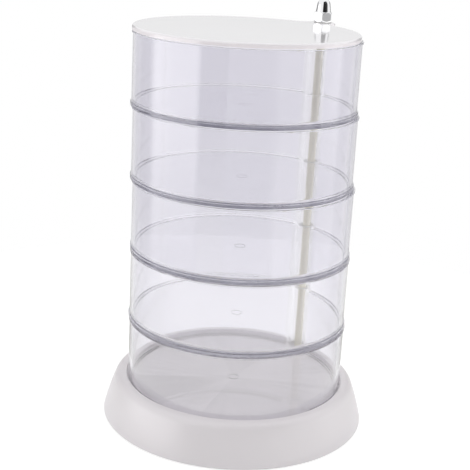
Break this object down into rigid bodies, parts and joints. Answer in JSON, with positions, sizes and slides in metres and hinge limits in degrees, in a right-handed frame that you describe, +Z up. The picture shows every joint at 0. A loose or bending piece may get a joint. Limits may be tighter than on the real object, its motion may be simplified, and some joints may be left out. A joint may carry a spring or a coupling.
{
  "type": "rotating organizer",
  "caption": "Tall round organizer of clear stacked trays and a white lid that swing out about an upright steel rod on a flared white base.",
  "frame": {"origin": "on the ground, under the middle of the base and of the closed stack", "axes": "+Z up along the stack, -Y towards the front, the rod stands behind to the right"},
  "size_m": [0.1818, 0.1818, 0.2853],
  "materials": {
    "white_plastic": "satin moulded",
    "cover_plastic": "fine matt",
    "screw_steel": "zinc plated",
    "foot_rubber": "matt",
    "rod_steel": "bright drawn",
    "clear_plastic": "clear polished",
    "washer_plastic": "smooth",
    "lid_plastic": "polished",
    "cap_chrome": "mirror plated"
  },
  "bodies": {
    "root": {"base_shell": "white_plastic", "base_cover": "cover_plastic", "cover_screws": "screw_steel", "foot_1": "foot_rubber", "foot_2": "foot_rubber", "foot_3": "foot_rubber", "foot_4": "foot_rubber", "pivot_rod": "rod_steel", "rod_nut": "screw_steel", "rod_washer": "screw_steel", "tray_1": "clear_plastic", "knuckle_washer_1": "washer_plastic", "knuckle_washer_2": "washer_plastic", "knuckle_washer_3": "washer_plastic", "knuckle_washer_4": "washer_plastic", "knuckle_washer_5": "washer_plastic", "cap_washer": "washer_plastic", "cap_nut": "cap_chrome"},
    "second_tray": {"tray_2": "clear_plastic"},
    "third_tray": {"tray_3": "clear_plastic"},
    "fourth_tray": {"tray_4": "clear_plastic"},
    "top_tray": {"tray_5": "clear_plastic"},
    "swing_lid": {"lid": "lid_plastic"}
  },
  "joints": [
    {"name": "tray_2_swing", "type": "hinge", "parent": "root", "child": "second_tray", "pos_m": [0.04877, 0.06592, 0.09], "axis": [0, 0, 1], "continuous": true},
    {"name": "tray_3_swing", "type": "hinge", "parent": "root", "child": "third_tray", "pos_m": [0.04877, 0.06592, 0.14], "axis": [0, 0, 1], "continuous": true},
    {"name": "tray_4_swing", "type": "hinge", "parent": "root", "child": "fourth_tray", "pos_m": [0.04877, 0.06592, 0.19], "axis": [0, 0, 1], "continuous": true},
    {"name": "tray_5_swing", "type": "hinge", "parent": "root", "child": "top_tray", "pos_m": [0.04877, 0.06592, 0.24], "axis": [0, 0, 1], "continuous": true},
    {"name": "lid_swing", "type": "hinge", "parent": "root", "child": "swing_lid", "pos_m": [0.04877, 0.06592, 0.267], "axis": [0, 0, 1], "continuous": true}
  ]
}
